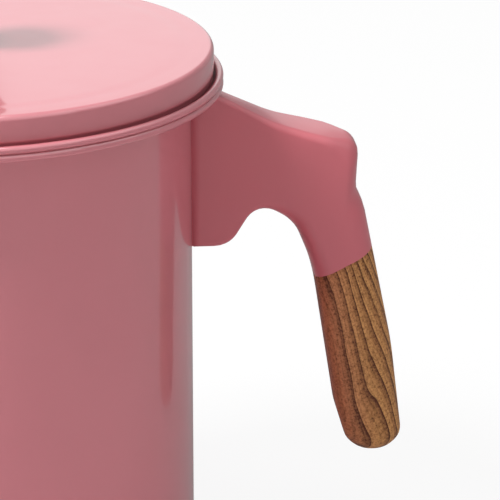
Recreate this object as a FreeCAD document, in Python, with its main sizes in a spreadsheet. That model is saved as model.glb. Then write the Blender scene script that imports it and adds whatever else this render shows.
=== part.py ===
"""Bacon grease container: a steel pot with a strainer, a lid and a side handle.

The origin is the centre of the pot's base, on the surface it stands on.
+Z is up and the handle points along +X. All sizes are in millimetres.
"""

import FreeCAD, Part
import math
import os

import Sketcher

document = FreeCAD.newDocument("grease_container")
sheet = document.addObject("Spreadsheet::Sheet", "Sizes")

DRIVING_SIZES = [
    ("pot_radius", 60.0, "outside of the pot wall"),
    ("pot_sheet", 0.8, "thickness of the pot's steel"),
    ("pot_height", 136.8, "base to the top of the pot's flange"),
    ("base_round", 4.0, "outer radius between wall and base"),
    ("neck_round", 1.4, "radius under the flange"),
    ("bead_radius", 1.0, "radius of a rolled rim bead"),
    ("rim_reach", 8.6, "pot wall to the outside of the bead"),
    ("strainer_sheet", 0.6, "thickness of the strainer's steel"),
    ("strainer_clearance", 0.3, "pot wall to strainer collar"),
    ("collar_depth", 12.0, "depth of the strainer's collar"),
    ("cup_depth", 38.0, "flange to the underside of the strainer cup"),
    ("cup_taper", 9.0, "how much the cup narrows to its floor"),
    ("cup_ledge", 3.0, "width of the ledge that carries the net"),
    ("net_thickness", 0.6, "thickness of the wire net"),
    ("net_pitch", 5.4, "distance between the net's wires"),
    ("net_wire", 1.2, "width of the net's wires"),
    ("clamp_height", 1.2, "height of the net's clamp ring"),
    ("lid_sheet", 0.8, "thickness of the lid's steel"),
    ("lid_gap", 0.5, "lid skirt to the inside of the bead"),
    ("lid_height", 8.6, "skirt's lower edge to the lid's rim face"),
    ("lid_round", 2.0, "radius of the lid's outer edge"),
    ("lid_margin", 9.6, "width of the flat margin round the panel"),
    ("panel_rise", 0.2, "height of the middle panel over the margin"),
    ("panel_slope", 3.0, "width of the slope up to the panel"),
    ("knob_height", 27.5, "height of the knob"),
    ("knob_foot", 8.8, "radius of the knob's foot"),
    ("knob_waist", 6.6, "radius of the knob's waist"),
    ("knob_cap", 12.2, "radius of the knob's cap"),
    ("knob_foot_round", 0.5, "radius under the knob's foot"),
    ("knob_band_round", 1.5, "radius over the knob's foot"),
    ("knob_waist_round", 12.0, "radius in the knob's waist"),
    ("knob_cap_round", 4.6, "radius round the knob's cap"),
    ("knob_crown_round", 20.0, "radius where the cap turns into its crown"),
    ("insert_radius", 3.4, "outside of the brass insert"),
    ("insert_length", 12.0, "length of the brass insert"),
    ("knob_screw_radius", 2.0, "shank of the knob's screw"),
    ("knob_screw_reach", 9.0, "shank inside the insert"),
    ("screw_play", 0.05, "shank to the wall of its threaded hole"),
    ("hole_play", 0.2, "shank to the wall of a plain hole"),
    ("washer_radius", 5.5, "outside of the knob's washer"),
    ("washer_thickness", 0.8, "thickness of the knob's washer"),
    ("head_ratio", 1.9, "screw head radius over shank radius"),
    ("head_height", 2.0, "height of a screw head"),
    ("handle_drop", 1.3, "flange underside to the handle's top"),
    ("block_height", 46.0, "handle's height where it meets the wall"),
    ("block_depth", 9.9, "wall to the foot of the arch"),
    ("block_round", 7.0, "radius of the block's lower corner"),
    ("arch_rise", 12.6, "height of the arch over the block's foot"),
    ("arch_left", 17.4, "wall to the arch's top"),
    ("arch_left_round", 8.5, "radius of the arch beside the block"),
    ("arch_right", 27.4, "wall to the arch's far corner"),
    ("arch_right_rise", 7.1, "height of the arch's far corner over the block's foot"),
    ("arch_right_round", 12.0, "radius of the arch beside the grip"),
    ("finger_room", 33.0, "wall to the grip, below the arch"),
    ("shoulder_drop", 6.6, "block's foot down to the grip's start"),
    ("thumb_drop", 16.8, "handle's top down to the thumb rest's edge"),
    ("thumb_reach", 45.0, "wall to the thumb rest's edge"),
    ("thumb_round", 4.2, "radius of the thumb rest's edge"),
    ("bend_drop", 10.8, "handle's top down to the bend of its top face"),
    ("bend_reach", 22.0, "wall to the bend of the handle's top face"),
    ("bend_round", 40.0, "radius of that bend"),
    ("waist_drop", 30.0, "handle's top down to the waist behind the thumb"),
    ("waist_reach", 44.2, "wall to the waist"),
    ("waist_round", 5.0, "radius of the waist"),
    ("waist_step", 5.0, "height of the step under the waist"),
    ("step_round", 8.0, "radius of that step"),
    ("grip_depth", 17.0, "grip's thickness away from the pot"),
    ("grip_drop", 54.4, "grip's start down to its end"),
    ("grip_lean", 8.8, "lean of the grip in degrees"),
    ("grip_belly", 1.4, "how far the grip's outer side bulges"),
    ("belly_round", 100.0, "radius of that bulge"),
    ("inner_round", 60.0, "radius between the arch and the grip's inner side"),
    ("end_taper_height", 13.3, "grip's end up to where its inner side tapers"),
    ("end_taper", 2.0, "how far the inner side has come in at the end"),
    ("end_taper_round", 25.0, "radius where the taper starts"),
    ("end_inner_round", 7.2, "radius of the grip's end on the pot's side"),
    ("end_outer_round", 8.4, "radius of the grip's end on the outer side"),
    ("neck_width", 8.2, "handle's width at the wall"),
    ("grip_width", 18.2, "handle's width at the grip"),
    ("flare_start", 9.0, "wall to where the handle starts to widen"),
    ("flare_end", 31.5, "wall to where the handle has its full width"),
    ("flare_round", 30.0, "radius at both ends of the flare"),
    ("buried", 2.0, "how far the handle's blank starts inside the wall"),
    ("edge_round", 1.6, "radius of the handle's edges at the wall"),
    ("grip_round", 6.2, "radius of the grip's edges"),
    ("joint_drop", 6.4, "block's foot down to the wood joint, pot side"),
    ("joint_lean", 20.0, "slope of the wood joint in degrees"),
    ("bracket_width", 5.0, "width of the steel bracket"),
    ("bracket_sheet", 1.5, "thickness of the steel bracket"),
    ("bracket_reach", 8.6, "wall to the end of the bracket's lower leg"),
    ("hook_reach", 6.0, "wall to the end of the bracket's hook"),
    ("leg_height", 5.6, "block's foot to the bracket's lower leg"),
    ("hook_drop", 8.0, "handle's top down to the bracket's hook"),
    ("pocket_play", 0.2, "bracket to the wall of its pocket"),
    ("handle_screw_radius", 1.5, "shank of the handle's screw"),
    ("handle_screw_place", 4.9, "wall to the screw's axis"),
    ("head_recess", 2.8, "depth of the recess for the screw's head"),
    ("tang_radius", 2.6, "radius of the steel rod in the grip"),
    ("tang_up", 24.0, "rod above the wood joint"),
    ("tang_down", 34.0, "rod below the wood joint"),
]


class Size:
    """A length that keeps its value and the sheet expression it comes from."""

    def __init__(self, value, text):
        self.value = value
        self.text = text

    def joined(self, sign, other, value):
        text = other.text if isinstance(other, Size) else repr(float(other))
        return Size(value, "(" + self.text + " " + sign + " " + text + ")")

    def __add__(self, other):
        return self.joined("+", other, self.value + number(other))

    def __sub__(self, other):
        return self.joined("-", other, self.value - number(other))

    def __mul__(self, other):
        return self.joined("*", other, self.value * number(other))

    def __truediv__(self, other):
        return self.joined("/", other, self.value / number(other))

    def __neg__(self):
        return Size(-self.value, "(0 - " + self.text + ")")


def number(item):
    return item.value if isinstance(item, Size) else float(item)


def fill_sheet():
    for row, (alias, value, meaning) in enumerate(DRIVING_SIZES, start=1):
        sheet.set("A%d" % row, meaning)
        sheet.set("B%d" % row, str(value))
        sheet.setAlias("B%d" % row, alias)
    document.recompute()


def size(alias):
    return Size(float(sheet.get(alias)), "Sizes." + alias)


fill_sheet()
ZERO = Size(0.0, "0")

# Places that several pieces share

pot_radius = size("pot_radius")
pot_inside = pot_radius - size("pot_sheet")
flange_top = size("pot_height")
bead_radius = size("bead_radius")
rim_radius = pot_radius + size("rim_reach")
bead_circle = rim_radius - bead_radius
bead_inside = bead_circle - bead_radius

strainer_sheet = size("strainer_sheet")
collar_outside = pot_inside - size("strainer_clearance")
collar_inside = collar_outside - strainer_sheet
collar_foot = flange_top - size("collar_depth")
strainer_top = flange_top + strainer_sheet
cup_outside = collar_inside
cup_inside = cup_outside - strainer_sheet
cup_bottom = flange_top - size("cup_depth")
cup_floor = cup_bottom + strainer_sheet
floor_outside = cup_outside - size("cup_taper")
floor_inside = floor_outside - strainer_sheet
ledge_inside = floor_inside - size("cup_ledge")
net_top = cup_floor + size("net_thickness")
net_edge = floor_inside - strainer_sheet

lid_radius = bead_inside - size("lid_gap")
lid_inside = lid_radius - size("lid_sheet")
lid_foot = strainer_top
lid_top = lid_foot + size("lid_height")
panel_radius = lid_radius - size("lid_margin")
panel_top = lid_top + size("panel_rise")
panel_under = panel_top - size("lid_sheet")

screw_play = size("screw_play")
hole_play = size("hole_play")
head_height = size("head_height")

handle_top = flange_top - size("pot_sheet") - size("handle_drop")
block_foot = handle_top - size("block_height")
screw_axis = pot_radius + size("handle_screw_place")
screw_seat = block_foot + size("head_recess")
leg_bottom = block_foot + size("leg_height")
leg_top = leg_bottom + size("bracket_sheet")
hook_top = handle_top - size("hook_drop")
hook_bottom = hook_top - size("bracket_sheet")


# Helpers for sketches and bodies

def new_body(name):
    body = document.addObject("PartDesign::Body", name)
    body.Label = name
    return body


def origin_feature(body, role):
    for feature in body.Origin.OriginFeatures:
        if feature.Role == role:
            return feature
    raise ValueError("no origin feature " + role)


def new_sketch(body, name, plane, offset=None):
    sketch = body.newObject("Sketcher::SketchObject", name)
    sketch.AttachmentSupport = [(origin_feature(body, plane), "")]
    sketch.MapMode = "FlatFace"
    if offset is not None:
        sketch.setExpression("AttachmentOffset.Base.z", offset.text)
    return sketch


def hold_point(sketch, geometry, point, across, up):
    """Ties one point of a sketch to two lengths of the sheet."""
    for kind, length, axis in (("DistanceX", across, -2), ("DistanceY", up, -1)):
        if length is ZERO:
            sketch.addConstraint(Sketcher.Constraint("PointOnObject", geometry, point, axis))
            continue
        index = sketch.addConstraint(Sketcher.Constraint(kind, -1, 1, geometry, point, length.value))
        sketch.setExpression("Constraints[%d]" % index, length.text)


def outline_sketch(body, name, plane, corners, offset=None):
    """A closed outline of straight sides through corners given as pairs of lengths."""
    sketch = new_sketch(body, name, plane, offset)
    places = [FreeCAD.Vector(across.value, up.value, 0) for across, up in corners]
    count = len(places)
    for index in range(count):
        sketch.addGeometry(Part.LineSegment(places[index], places[(index + 1) % count]))
    for index in range(count):
        sketch.addConstraint(Sketcher.Constraint("Coincident", index, 2, (index + 1) % count, 1))
    for index, (across, up) in enumerate(corners):
        hold_point(sketch, index, 1, across, up)
    return sketch


def circle_sketch(body, name, plane, circles, offset=None):
    """Circles given as centre across, centre up and radius."""
    sketch = new_sketch(body, name, plane, offset)
    for index, (across, up, radius) in enumerate(circles):
        centre = FreeCAD.Vector(across.value, up.value, 0)
        sketch.addGeometry(Part.Circle(centre, FreeCAD.Vector(0, 0, 1), radius.value))
        if across is ZERO and up is ZERO:
            sketch.addConstraint(Sketcher.Constraint("Coincident", index, 3, -1, 1))
        else:
            hold_point(sketch, index, 3, across, up)
        held = sketch.addConstraint(Sketcher.Constraint("Radius", index, radius.value))
        sketch.setExpression("Constraints[%d]" % held, radius.text)
    return sketch


def turned(body, name, sketch):
    """Turns a sketch of the XZ plane all the way round the Z axis."""
    feature = body.newObject("PartDesign::Revolution", name)
    feature.Profile = sketch
    feature.ReferenceAxis = (sketch, ["V_Axis"])
    feature.Angle = 360.0
    document.recompute()
    return feature


def padded(body, name, sketch, length):
    feature = body.newObject("PartDesign::Pad", name)
    feature.Profile = sketch
    feature.Length = length.value
    feature.setExpression("Length", length.text)
    document.recompute()
    return feature


def pocketed(body, name, sketch, length):
    """Cuts upwards from the sketch, and stops if nothing was cut."""
    before = body.Shape.Volume
    feature = body.newObject("PartDesign::Pocket", name)
    feature.Profile = sketch
    feature.Length = length.value
    feature.setExpression("Length", length.text)
    feature.Reversed = True
    document.recompute()
    if body.Shape.Volume > before - 1e-6:
        raise ValueError(name + " cuts nothing")
    return feature


def ring_edges(shape, places):
    """Names of the circular edges at the given radius and height pairs."""
    found = []
    for index, edge in enumerate(shape.Edges, start=1):
        if not isinstance(edge.Curve, Part.Circle):
            continue
        for radius, height in places:
            near_radius = abs(edge.Curve.Radius - radius.value) < 0.01
            near_height = abs(edge.Curve.Center.z - height.value) < 0.01
            if near_radius and near_height:
                found.append("Edge%d" % index)
    return found


def rounded_rings(body, name, places, radius):
    """Rounds the circular edges at the given radius and height pairs."""
    base = body.Tip
    edges = ring_edges(base.Shape, places)
    feature = body.newObject("PartDesign::Fillet", name)
    feature.Base = (base, edges)
    feature.Radius = radius.value
    feature.setExpression("Radius", radius.text)
    document.recompute()
    return feature


def rounded_wire(corners):
    """A closed wire in the XZ plane. Each corner is x, z and the radius that rounds it,
    which is limited to what its two sides leave."""
    count = len(corners)
    points = [FreeCAD.Vector(x, 0, z) for x, z, radius in corners]
    pieces = []
    starts = []
    ends = []
    for index, (x, z, radius) in enumerate(corners):
        here = points[index]
        back = points[index - 1] - here
        ahead = points[(index + 1) % count] - here
        opening = back.getAngle(ahead)
        if radius <= 0 or abs(opening - math.pi) < 1e-3:
            starts.append(here)
            ends.append(here)
            pieces.append(None)
            continue
        reach = min(radius / math.tan(opening / 2), 0.48 * min(back.Length, ahead.Length))
        bulge = reach * math.tan(opening / 2)
        middle_way = (back.normalize() + ahead.normalize()).normalize()
        middle = here + middle_way * (bulge / math.sin(opening / 2) - bulge)
        start = here + back * reach
        end = here + ahead * reach
        starts.append(start)
        ends.append(end)
        pieces.append(Part.Arc(start, middle, end).toShape())
    edges = []
    for index in range(count):
        if pieces[index] is not None:
            edges.append(pieces[index])
        following = starts[(index + 1) % count]
        if ends[index].distanceToPoint(following) > 1e-6:
            edges.append(Part.LineSegment(ends[index], following).toShape())
    return Part.Wire(edges)


# The pot

def make_pot_body():
    """Drawn steel pot with a flange and a rolled bead."""
    body = new_body("pot_body")
    sheet_steel = size("pot_sheet")
    flange_under = flange_top - sheet_steel
    corners = [
        (ZERO, ZERO),
        (pot_radius, ZERO),
        (pot_radius, flange_under),
        (bead_circle, flange_under),
        (bead_circle, flange_top),
        (pot_inside, flange_top),
        (pot_inside, sheet_steel),
        (ZERO, sheet_steel),
    ]
    turned(body, "pot_shell", outline_sketch(body, "pot_profile", "XZ_Plane", corners))
    base_round = size("base_round")
    rounded_rings(body, "pot_base_round", [(pot_radius, ZERO)], base_round)
    rounded_rings(body, "pot_inner_round", [(pot_inside, sheet_steel)], base_round - sheet_steel)
    neck_round = size("neck_round")
    rounded_rings(body, "pot_neck_round", [(pot_radius, flange_under)], neck_round)
    rounded_rings(body, "pot_mouth_round", [(pot_inside, flange_top)], neck_round)
    bead = [(bead_circle, flange_top - bead_radius, bead_radius)]
    turned(body, "pot_bead", circle_sketch(body, "pot_bead_section", "XZ_Plane", bead))


# The strainer

def make_strainer_rim():
    """Collar, flange and bead that hang the strainer in the pot's mouth."""
    body = new_body("strainer_rim")
    corners = [
        (collar_inside, collar_foot),
        (collar_outside, collar_foot),
        (collar_outside, flange_top),
        (bead_circle, flange_top),
        (bead_circle, strainer_top),
        (collar_inside, strainer_top),
    ]
    turned(body, "rim_shell", outline_sketch(body, "rim_profile", "XZ_Plane", corners))
    bead = [(bead_circle, flange_top + bead_radius, bead_radius)]
    turned(body, "rim_bead", circle_sketch(body, "rim_bead_section", "XZ_Plane", bead))


def make_strainer_cup():
    """Stainless cup with a straight band, a tapered wall and a ledge for the net."""
    body = new_body("strainer_cup")
    band_top = flange_top - strainer_sheet
    corners = [
        (ledge_inside, cup_bottom),
        (floor_outside, cup_bottom),
        (cup_outside, collar_foot),
        (cup_outside, band_top),
        (cup_inside, band_top),
        (cup_inside, collar_foot),
        (floor_inside, cup_floor),
        (ledge_inside, cup_floor),
    ]
    turned(body, "cup_shell", outline_sketch(body, "cup_profile", "XZ_Plane", corners))


def make_strainer_net():
    """Round wire net: one sheet with a square gap between each pair of wires."""
    pitch = number(size("net_pitch"))
    opening = pitch - number(size("net_wire"))
    edge = number(net_edge)
    free_radius = number(ledge_inside)
    floor = number(cup_floor)
    disc = Part.makeCylinder(edge, number(size("net_thickness")), FreeCAD.Vector(0, 0, floor))
    reach = int(free_radius / pitch) + 1
    gaps = []
    for column in range(-reach, reach + 1):
        for row in range(-reach, reach + 1):
            corner_x = abs(column * pitch) + opening / 2
            corner_y = abs(row * pitch) + opening / 2
            if math.hypot(corner_x, corner_y) > free_radius:
                continue
            place = FreeCAD.Vector(column * pitch - opening / 2, row * pitch - opening / 2, floor - 1)
            gaps.append(Part.makeBox(opening, opening, number(size("net_thickness")) + 2, place))
    net = document.addObject("Part::Feature", "strainer_mesh")
    net.Label = "strainer_mesh"
    net.Shape = disc.cut(Part.makeCompound(gaps))


def make_clamp_ring():
    """Ring that holds the net down on the cup's ledge."""
    body = new_body("mesh_clamp_ring")
    rings = [(ZERO, ZERO, net_edge), (ZERO, ZERO, ledge_inside)]
    sketch = circle_sketch(body, "clamp_section", "XY_Plane", rings, net_top)
    padded(body, "clamp_pad", sketch, size("clamp_height"))


# The lid and its knob

def make_lid_shell():
    """Pressed steel lid with a rounded edge, a skirt and a raised panel."""
    body = new_body("lid_shell")
    sheet_steel = size("lid_sheet")
    slope_foot = panel_radius + size("panel_slope")
    hole = size("knob_screw_radius") + hole_play
    corners = [
        (lid_inside, lid_foot),
        (lid_radius, lid_foot),
        (lid_radius, lid_top),
        (slope_foot, lid_top),
        (panel_radius, panel_top),
        (hole, panel_top),
        (hole, panel_under),
        (panel_radius, panel_under),
        (slope_foot, lid_top - sheet_steel),
        (lid_inside, lid_top - sheet_steel),
    ]
    turned(body, "lid_pressing", outline_sketch(body, "lid_profile", "XZ_Plane", corners))
    lid_round = size("lid_round")
    rounded_rings(body, "lid_edge_round", [(lid_radius, lid_top)], lid_round)
    inner = [(lid_inside, lid_top - sheet_steel)]
    rounded_rings(body, "lid_inner_round", inner, lid_round - sheet_steel)


def make_lid_knob():
    """Turned mushroom knob with a blind hole for its insert."""
    height = number(size("knob_height"))
    foot = number(size("knob_foot"))
    cap = number(size("knob_cap"))
    cap_round = number(size("knob_cap_round"))
    base = number(panel_top)
    half = rounded_wire([
        (0, base, 0),
        (foot, base, number(size("knob_foot_round"))),
        (foot, base + 0.08 * height, number(size("knob_band_round"))),
        (number(size("knob_waist")), base + 0.34 * height, number(size("knob_waist_round"))),
        (cap, base + 0.62 * height, cap_round),
        (cap, base + 0.90 * height, cap_round),
        (0.45 * cap, base + height, number(size("knob_crown_round"))),
        (0, base + height, 0),
    ])
    turning = Part.Face(half).revolve(FreeCAD.Vector(0, 0, 0), FreeCAD.Vector(0, 0, 1), 360)
    blank = document.addObject("Part::Feature", "knob_turning")
    blank.Shape = turning
    hole = document.addObject("Part::Cylinder", "knob_hole")
    hole.setExpression("Radius", size("insert_radius").text)
    hole.setExpression("Height", size("insert_length").text)
    hole.setExpression("Placement.Base.z", panel_top.text)
    knob = document.addObject("Part::Cut", "lid_knob")
    knob.Label = "lid_knob"
    knob.Base = blank
    knob.Tool = hole


def make_knob_insert():
    """Brass insert with a blind threaded hole, flush with the knob's foot."""
    body = new_body("knob_insert")
    bore = size("knob_screw_radius") + screw_play
    bore_top = panel_top + size("knob_screw_reach") + hole_play * 5
    top = panel_top + size("insert_length")
    corners = [
        (bore, panel_top),
        (size("insert_radius"), panel_top),
        (size("insert_radius"), top),
        (ZERO, top),
        (ZERO, bore_top),
        (bore, bore_top),
    ]
    turned(body, "insert_turning", outline_sketch(body, "insert_profile", "XZ_Plane", corners))


def make_knob_washer():
    body = new_body("knob_washer")
    hole = size("knob_screw_radius") + hole_play
    rings = [(ZERO, ZERO, size("washer_radius")), (ZERO, ZERO, hole)]
    under = panel_under - size("washer_thickness")
    sketch = circle_sketch(body, "washer_section", "XY_Plane", rings, under)
    padded(body, "washer_pad", sketch, size("washer_thickness"))


def make_screw(name, axis_x, seat, shank_radius, shank_top):
    """Pan-head screw that points up, with its head under the seat and a cross slot."""
    body = new_body(name)
    head_radius = shank_radius * size("head_ratio")
    head_bottom = seat - head_height
    head = [(axis_x, ZERO, head_radius)]
    padded(body, name + "_head", circle_sketch(body, name + "_head_ring", "XY_Plane", head, head_bottom),
           head_height)
    shank = [(axis_x, ZERO, shank_radius)]
    padded(body, name + "_shank", circle_sketch(body, name + "_shank_ring", "XY_Plane", shank, seat),
           shank_top - seat)
    rounded_rings(body, name + "_head_round", [(head_radius, head_bottom)], head_height * 0.4)
    arm = head_radius * 0.55
    half = head_radius * 0.12
    for turn, (long_side, short_side) in enumerate(((arm, half), (half, arm)), start=1):
        corners = [
            (axis_x - long_side, -short_side),
            (axis_x + long_side, -short_side),
            (axis_x + long_side, short_side),
            (axis_x - long_side, short_side),
        ]
        slot = outline_sketch(body, "%s_slot_outline_%d" % (name, turn), "XY_Plane", corners, head_bottom)
        pocketed(body, "%s_slot_%d" % (name, turn), slot, head_height * 0.5)


# The handle

def handle_side_corners():
    """The handle seen from the side, starting inside the pot wall at the block's foot."""
    wall = number(pot_radius)
    top = number(handle_top)
    foot = number(block_foot)
    buried = wall - number(size("buried"))
    depth = number(size("grip_depth"))
    lean = math.tan(math.radians(number(size("grip_lean"))))
    grip_start = foot - number(size("shoulder_drop"))
    grip_end = grip_start - number(size("grip_drop"))
    inner_start = wall + number(size("finger_room"))
    inner_end = inner_start + lean * number(size("grip_drop"))
    taper_z = grip_end + number(size("end_taper_height"))
    taper_x = inner_start + lean * (grip_start - taper_z)
    step = number(size("waist_step"))
    waist_x = wall + number(size("waist_reach"))
    waist_z = top - number(size("waist_drop"))
    belly_z = (grip_start + grip_end) / 2 + step
    belly_x = inner_start + lean * (grip_start - belly_z) + depth + number(size("grip_belly"))
    return [
        (buried, foot, 0),
        (wall + number(size("block_depth")), foot, number(size("block_round"))),
        (wall + number(size("arch_left")), foot + number(size("arch_rise")), number(size("arch_left_round"))),
        (wall + number(size("arch_right")), foot + number(size("arch_right_rise")),
         number(size("arch_right_round"))),
        (inner_start, grip_start, number(size("inner_round"))),
        (taper_x, taper_z, number(size("end_taper_round"))),
        (inner_end + number(size("end_taper")), grip_end, number(size("end_inner_round"))),
        (inner_end + depth, grip_end, number(size("end_outer_round"))),
        (belly_x, belly_z, number(size("belly_round"))),
        (waist_x + 0.46 * step, waist_z - step, number(size("step_round"))),
        (waist_x, waist_z, number(size("waist_round"))),
        (wall + number(size("thumb_reach")), top - number(size("thumb_drop")), number(size("thumb_round"))),
        (wall + number(size("bend_reach")), top - number(size("bend_drop")), number(size("bend_round"))),
        (buried, top + number(size("buried")) / 2, 0),
    ]


def handle_plan_corners():
    """The handle seen from above, as x and half-width, on one side of its middle plane."""
    wall = number(pot_radius)
    neck = number(size("neck_width")) / 2
    full = number(size("grip_width")) / 2
    flare_round = number(size("flare_round"))
    far = wall + number(size("finger_room")) * 3
    start = wall + number(size("flare_start"))
    end = wall + number(size("flare_end"))
    near = wall - number(size("buried"))
    half = [(near, neck, 0), (start, neck, flare_round), (end, full, flare_round), (far, full, 0)]
    return half + [(x, -y, radius) for x, y, radius in reversed(half)]


def along_outline(point):
    """Edge radius of the handle at a point: small at the wall, large on the grip."""
    past_flare = point.x - number(pot_radius) - number(size("flare_start"))
    share = max(0.0, min(1.0, past_flare / number(size("flare_end"))))
    small = number(size("edge_round"))
    large = number(size("grip_round"))
    thumb_z = number(handle_top) - number(size("thumb_drop"))
    waist_z = number(handle_top) - number(size("waist_drop"))
    if past_flare > 0 and point.z > waist_z:
        above = min(1.0, (point.z - waist_z) / (thumb_z - waist_z))
        large = large + (small * 1.3 - large) * above
    return small + (large - small) * share


def make_handle_blank():
    """The whole handle as one moulded form, before it is split at the wood joint."""
    side = Part.Face(rounded_wire(handle_side_corners()))
    width = number(size("grip_width")) * 1.2
    side_solid = side.extrude(FreeCAD.Vector(0, width, 0))
    side_solid.translate(FreeCAD.Vector(0, -width / 2, 0))
    plan = Part.Face(rounded_wire(handle_plan_corners()))
    plan.rotate(FreeCAD.Vector(0, 0, 0), FreeCAD.Vector(1, 0, 0), -90)
    plan_solid = plan.extrude(FreeCAD.Vector(0, 0, number(handle_top) * 1.1))
    moulding = side_solid.common(plan_solid)
    blank = document.addObject("Part::Feature", "handle_moulding")
    blank.Shape = moulding
    return blank


def round_handle(blank):
    """Rounds the two long outlines of the blank, with a radius that grows away from the wall."""
    buried_end = number(pot_radius) - 0.95 * number(size("buried"))
    rounds = []
    for index, edge in enumerate(blank.Shape.Edges, start=1):
        first = edge.valueAt(edge.FirstParameter)
        last = edge.valueAt(edge.LastParameter)
        across = abs(first.y + last.y) < 0.1 and abs(first.y - last.y) > 1.0
        buried = max(first.x, last.x) < buried_end
        level = abs(first.x - last.x) < 1e-6 and abs(first.y - last.y) < 0.1
        straight_up = level and isinstance(edge.Curve, Part.Line)
        if across or straight_up or buried:
            continue
        rounds.append((index, along_outline(first), along_outline(last)))
    feature = document.addObject("Part::Fillet", "handle_rounded")
    feature.Base = blank
    feature.Edges = rounds
    document.recompute()
    return feature


def joint_frame():
    """Middle of the wood joint, and the direction of the grip's axis there."""
    lean = math.radians(number(size("grip_lean")))
    start_z = number(block_foot) - number(size("joint_drop"))
    slope = math.tan(math.radians(number(size("joint_lean"))))
    half = number(size("grip_depth")) / 2
    x = number(pot_radius) + number(size("finger_room")) + half
    centre = FreeCAD.Vector(x, 0, start_z + slope * half)
    along = FreeCAD.Vector(math.sin(lean), 0, -math.cos(lean))
    return centre, along


def below_joint():
    """A block that holds all of the handle below the sloped wood joint."""
    centre, along = joint_frame()
    size_of_block = number(size("grip_drop")) * 3
    block = Part.makeBox(size_of_block, size_of_block, size_of_block)
    block.translate(FreeCAD.Vector(-size_of_block / 2, -size_of_block / 2, -size_of_block))
    block.rotate(FreeCAD.Vector(0, 0, 0), FreeCAD.Vector(0, 1, 0), -number(size("joint_lean")))
    block.translate(centre)
    far_side = number(pot_radius) + number(size("arch_left"))
    keep = Part.makeBox(size_of_block, size_of_block, size_of_block)
    keep_top = number(block_foot) + number(size("arch_rise"))
    keep.translate(FreeCAD.Vector(far_side, -size_of_block / 2, keep_top - size_of_block))
    return block.common(keep)


def tang_rod():
    centre, along = joint_frame()
    up = number(size("tang_up"))
    down = number(size("tang_down"))
    return Part.makeCylinder(number(size("tang_radius")), up + down, centre - along * up, along)


def bracket_shape(play):
    """The C-shaped bracket, grown by a play on every side for its pocket."""
    half = number(size("bracket_width")) / 2 + play
    wall = number(pot_radius) - number(size("buried")) / 2
    sheet_steel = number(size("bracket_sheet"))

    def strip(reach, low, high):
        place = FreeCAD.Vector(wall, -half, low - play)
        return Part.makeBox(number(pot_radius) + reach + play - wall, 2 * half, high - low + 2 * play, place)

    leg = strip(number(size("bracket_reach")), number(leg_bottom), number(leg_top))
    back = strip(sheet_steel, number(leg_bottom), number(hook_top))
    hook = strip(number(size("hook_reach")), number(hook_bottom), number(hook_top))
    return leg.fuse([back, hook]).removeSplitter()


def pot_cylinder():
    return Part.makeCylinder(number(pot_radius), number(flange_top) * 2)


def screw_hole(radius, low, high):
    place = FreeCAD.Vector(number(screw_axis), 0, low)
    return Part.makeCylinder(radius, high - low, place)


def cut_in_turn(shape, tools):
    for tool in tools:
        shape = shape.cut(tool)
    return shape


def make_handle_pieces():
    blank = make_handle_blank()
    rounded = round_handle(blank)
    whole = rounded.Shape
    lower = below_joint()
    shank = number(size("handle_screw_radius"))
    seat = number(screw_seat)
    foot = number(block_foot)
    play = number(hole_play)
    head_space = shank * number(size("head_ratio")) + play
    tip = number(leg_top) + shank * 2
    arm_cuts = [
        lower,
        pot_cylinder(),
        bracket_shape(number(size("pocket_play"))),
        screw_hole(head_space, foot - shank, seat),
        screw_hole(shank + play, foot, tip + play),
        tang_rod(),
    ]
    arm = document.addObject("Part::Feature", "handle_arm")
    arm.Label = "handle_arm"
    arm.Shape = cut_in_turn(whole, arm_cuts)
    grip = document.addObject("Part::Feature", "handle_grip")
    grip.Label = "handle_grip"
    grip.Shape = whole.common(lower).cut(tang_rod())
    tang = document.addObject("Part::Feature", "handle_tang")
    tang.Label = "handle_tang"
    tang.Shape = tang_rod()
    bracket = document.addObject("Part::Feature", "handle_bracket")
    bracket.Label = "handle_bracket"
    threaded = screw_hole(shank + number(screw_play), foot, tip)
    bracket.Shape = cut_in_turn(bracket_shape(0.0), [pot_cylinder(), threaded])


def make_all():
    make_pot_body()
    make_strainer_rim()
    make_strainer_cup()
    make_strainer_net()
    make_clamp_ring()
    make_lid_shell()
    make_lid_knob()
    make_knob_insert()
    make_knob_washer()
    knob_shank = size("knob_screw_radius")
    knob_seat = panel_under - size("washer_thickness")
    make_screw("knob_screw", ZERO, knob_seat, knob_shank, panel_top + size("knob_screw_reach"))
    make_handle_pieces()
    handle_shank = size("handle_screw_radius")
    make_screw("handle_screw", screw_axis, screw_seat, handle_shank, leg_top + handle_shank * 2)
    document.recompute()


NODES = [
    "pot_body", "handle_bracket", "handle_screw", "handle_arm", "handle_tang", "handle_grip",
    "strainer_rim", "strainer_cup", "strainer_mesh", "mesh_clamp_ring",
    "lid_shell", "lid_knob", "knob_insert", "knob_screw", "knob_washer",
]


def check_document():
    for item in document.Objects:
        if "Invalid" in item.State or "Error" in item.State:
            raise ValueError(item.Name + " failed to rebuild")
    for name in NODES:
        shape = document.getObject(name).Shape
        if shape.isNull() or not shape.isValid():
            raise ValueError(name + " has no valid shape")
        if len(shape.Solids) != 1:
            raise ValueError(name + " isn't one solid")


def write_parts():
    os.makedirs("parts", exist_ok=True)
    for name in NODES:
        document.getObject(name).Shape.exportStep("parts/%s.step" % name)


make_all()
check_document()
write_parts()
for node_name in NODES:
    box = document.getObject(node_name).Shape.BoundBox
    print("%-16s x %7.2f %7.2f  y %7.2f %7.2f  z %7.2f %7.2f" % (
        node_name, box.XMin, box.XMax, box.YMin, box.YMax, box.ZMin, box.ZMax))
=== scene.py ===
# %% [markdown] A bacon grease container, dressed around its fixed CAD frame.
# This notebook adds what the eye sees: smooth pressed steel, the moulded handle,
# the wood and the light. Every piece is in metres, in the frame's place; only
# the outlines are written in millimetres.

# %% Load the frame
import math

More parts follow.
